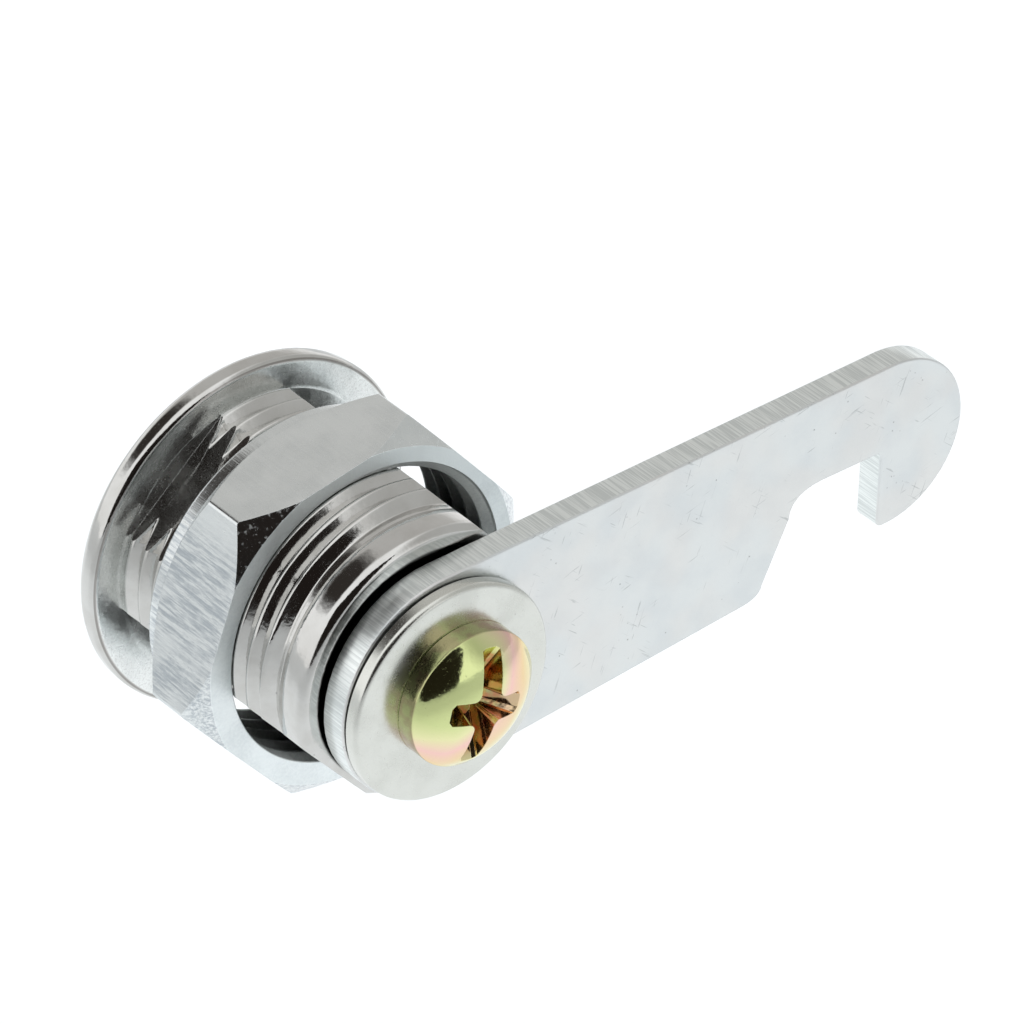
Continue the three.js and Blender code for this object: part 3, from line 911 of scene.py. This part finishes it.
def film_colours(n, place):
    """The thin film on the screw: rings of green, straw and pink about a spot on its edge."""
    wander = n.math("MULTIPLY_ADD", n.noise(place, 3.0, 1, 0.4), 2.0, -1.0)
    reach = n.math("ADD", n.radius(place, FILM_MIDDLE), wander)
    ramp = n.add("ValToRGB", {"Fac": n.math("DIVIDE", reach, FILM_REACH)})
    elements = ramp.color_ramp.elements
    while len(elements) < len(FILM):
        elements.new(0.5)
    for element, (position, tint) in zip(elements, FILM):
        element.position = position
        element.color = tint
    return ramp.outputs[0]


def yellow_zinc(name):
    """Yellow passivated zinc: a thin film that shifts between green, pink and straw."""
    material, n, place = blank_material(name)
    height = n.height(place)
    radius = n.radius(place)
    inside = n.fit(radius, 3.0, 3.6, 1.0, 0.0)
    cross = n.times(n.fit(height, HEAD_TOP - 1.3, HEAD_TOP - 0.9, 1.0, 0.0), inside)
    band = n.fit(radius, HEAD_EDGE + 0.02, HEAD_EDGE + 0.1)
    stain = n.fit(n.noise(place, 0.9, 2), 0.4, 0.62)
    floor_tone = n.blend(stain, RUST, OLIVE)
    band_tone = n.blend(stain, BROWN, DULL_OLIVE)
    tone = n.blend(n.times(cross, 0.85), film_colours(n, place), floor_tone)
    tone = n.blend(n.times(band, 0.8), tone, band_tone)
    speck = n.fit(n.noise(place, 0.15, 2), 0.6, 0.75)
    rough = n.math("MULTIPLY_ADD", speck, 0.2, 0.1)
    metal_output(n, tone, rough, n.bump(n.noise(place, 0.7, 2), 0.01, n.soft_edge(0.06)))
    return material


CHROME = plated_metal(
    "chrome",
    colour(0.64, 0.64, 0.625),
    colour(0.57, 0.565, 0.545),
    (0.07, 0.15),
    orange_peel=0.016,
    pit_share=0.35,
    touch=chrome_touch,
)
ZINC_NUT = plated_metal(
    "zinc_nut",
    colour(0.80, 0.83, 0.83),
    colour(0.74, 0.77, 0.77),
    (0.17, 0.25),
    grain=(1, 0.04, 1),
    grain_size=0.14,
    grain_depth=0.012,
    pit_share=0.3,
    touch=nut_touch,
)
ZINC_CAM = plated_metal(
    "zinc_cam",
    colour(0.72, 0.745, 0.745),
    colour(0.69, 0.72, 0.73),
    (0.28, 0.34),
    grain=(1, 0.04, 1),
    grain_size=0.2,
    grain_depth=0.014,
    pit_share=0.42,
    edge=0.08,
    touch=cam_touch,
)
ZINC_WASHER = plated_metal(
    "zinc_washer",
    colour(0.70, 0.71, 0.67),
    colour(0.65, 0.66, 0.62),
    (0.2, 0.28),
    orange_peel=0.006,
    pit_share=0.3,
)
YELLOW_ZINC = yellow_zinc("yellow_zinc")
CAST_ZINC = plated_metal(
    "cast_zinc",
    colour(0.55, 0.56, 0.56),
    colour(0.46, 0.46, 0.46),
    (0.22, 0.38),
    orange_peel=0.01,
    pit_share=0.3,
)
BRASS = plated_metal(
    "brass",
    colour(0.72, 0.52, 0.24),
    colour(0.55, 0.38, 0.17),
    (0.25, 0.4),
    grain=(0.1, 1, 1),
    grain_depth=0.005,
)
SPRING_STEEL = plated_metal(
    "spring_steel", colour(0.5, 0.5, 0.52), colour(0.36, 0.36, 0.37), (0.25, 0.35), edge=0.01
)


# ------------------------------------------------------------------ pieces

dress(make_housing(), CHROME, "chrome", "housing", "housing")
dress(make_nut(), ZINC_NUT, "zinc_nut", "nut", "mounting_nut")
dress(refined_copy("cam", "cam_plate", 0.12, 3), ZINC_CAM, "zinc_cam", "plug", "cam")
dress(make_washer(), ZINC_WASHER, "zinc_washer", "plug", "cam_washer")
dress(make_screw(), YELLOW_ZINC, "yellow_zinc", "plug", "cam_screw")
dress(refined_copy("plug", "plug_body"), CAST_ZINC, "cast_zinc", "plug", "plug")

slot_material = {"brass": BRASS, "spring_steel": SPRING_STEEL}
for entry in frame["record"]["subparts"]:
    if entry["material_slot"] in slot_material:
        node = frame["nodes"][entry["node"]]
        node.data.materials.clear()
        node.data.materials.append(slot_material[entry["material_slot"]])


# ------------------------------------------------------------------ studio


def emission(name, tint, strength):
    """A material that glows evenly."""
    material = bpy.data.materials.new(name)
    material.use_nodes = True
    tree = material.node_tree
    tree.nodes.clear()
    n = Nodes(tree)
    glow = n.add("Emission", {"Color": tint, "Strength": strength})
    out = n.add("OutputMaterial")
    tree.links.new(glow.outputs[0], out.inputs[0])
    return material


def card(name, direction, width, height, distance, material):
    """A flat card that faces the lock; it is seen only in reflections."""
    towards = Vector(direction).normalized()
    side = Vector((0, 0, 1)).cross(towards).normalized()
    rise = towards.cross(side)
    middle = towards * distance
    points = []
    for a, b in ((-1, -1), (1, -1), (1, 1), (-1, 1)):
        points.append(middle + side * width / 2 * a + rise * height / 2 * b)
    piece = mesh_piece(name, points, [(0, 1, 2, 3)])
    piece.data.materials.append(material)
    piece.visible_camera = False
    piece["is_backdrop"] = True


def pale_floor():
    """A white floor that glows in a painted pool of light, brightest under the lock and greyer further
    out.
    """
    material, n, place = blank_material("pale_floor")
    offset = n.add("VectorMath", {0: place, 1: Vector(POOL_MIDDLE) * MM}, operation="SUBTRACT")
    reach = n.add("VectorMath", {0: offset.outputs[0]}, operation="LENGTH").outputs["Value"]
    pool = n.fit(reach, POOL_INNER * MM, POOL_OUTER * MM, POOL_GLOW, FAR_GLOW)
    inputs = {"Base Color": colour(0.5, 0.51, 0.515), "Roughness": 0.9}
    shader = n.add("BsdfPrincipled", inputs)
    shader.inputs["Emission Color"].default_value = colour(0.95, 0.98, 1.0)
    n.put(shader.inputs["Emission Strength"], pool)
    out = n.add("OutputMaterial")
    n.tree.links.new(shader.outputs[0], out.inputs[0])
    return material


FLOOR_HEIGHT = low.z / MM - 30
FLOOR_SIZE = 4000
# the floor's painted pool of light: its middle, inner and outer reach, and its glow inside and far out
POOL_MIDDLE = (-55, -32, FLOOR_HEIGHT)
POOL_INNER = 90
POOL_OUTER = 220
POOL_GLOW = 0.72
FAR_GLOW = 0.36
SKY_STRENGTH = 1.15

# Soft darker zones of the white surroundings: direction, half-angles of full tint and of none.
SKY_ZONES = [
    ((-0.38, -0.62, 0.68), 28, 46, colour(0.53, 0.52, 0.505)),
    ((-0.80, 0.43, 0.43), 24, 46, colour(0.50, 0.50, 0.49)),
    ((0.36, -0.62, 0.69), 12, 26, colour(0.035, 0.03, 0.027)),
]


def surroundings():
    """White light from all round, with darker zones."""
    world = bpy.data.worlds.new("studio")
    bpy.context.scene.world = world
    world.use_nodes = True
    tree = world.node_tree
    tree.nodes.clear()
    n = Nodes(tree)
    direction = n.add("TexCoord").outputs["Generated"]
    sky = colour(1, 1, 1)
    for middle, inner, outer, tint in SKY_ZONES:
        inputs = {0: direction, 1: Vector(middle).normalized()}
        toward = n.add("VectorMath", inputs, operation="DOT_PRODUCT").outputs["Value"]
        zone = n.fit(toward, cos(radians(outer)), cos(radians(inner)))
        sky = n.blend(zone, sky, tint)
    background = n.add("Background", {"Color": sky, "Strength": SKY_STRENGTH})
    out = n.add("OutputWorld")
    tree.links.new(background.outputs[0], out.inputs[0])


def studio():
    """White surroundings with darker zones, over a pale floor with a painted pool of light."""
    surroundings()
    half = FLOOR_SIZE / 2
    sides = ((-half, -half), (half, -half), (half, half), (-half, half))
    floor = mesh_piece("floor", [(x, y, FLOOR_HEIGHT) for x, y in sides], [(0, 1, 2, 3)])
    floor.data.materials.append(pale_floor())
    floor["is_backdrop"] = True
    dark = emission("dark_room", colour(0.05, 0.04, 0.035), strength=0.35)
    direction = (0.44, 0.82, 0.39)
    card("dark_opening", direction, width=900, height=660, distance=650, material=dark)
    bpy.context.scene.view_settings.view_transform = "Standard"


def camera():
    """The photographer's place: seen from the cam's end, above and to the left of the hook."""
    azimuth, elevation, roll = radians(40.28), radians(35.36), radians(1.53)
    distance = 400
    aim_right, aim_up = 15.26, 1.16
    back = Vector(
        (sin(azimuth) * cos(elevation), cos(azimuth) * cos(elevation), sin(elevation))
    )
    level = Vector((0, 0, 1)).cross(back).normalized()
    upright = back.cross(level)
    right = level * cos(roll) + upright * sin(roll)
    up = upright * cos(roll) - level * sin(roll)
    data = bpy.data.cameras.new("camera")
    data.lens = 240.9
    data.sensor_width = 36
    data.clip_start = 0.01
    data.clip_end = 20
    eye = bpy.data.objects.new("camera", data)
    bpy.context.collection.objects.link(eye)
    turn = Matrix((right, up, back)).transposed().to_4x4()
    spot = (back * distance + right * aim_right + up * aim_up) * MM
    eye.matrix_world = Matrix.Translation(spot) @ turn
    bpy.context.scene.camera = eye


studio()
camera()

low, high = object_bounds()
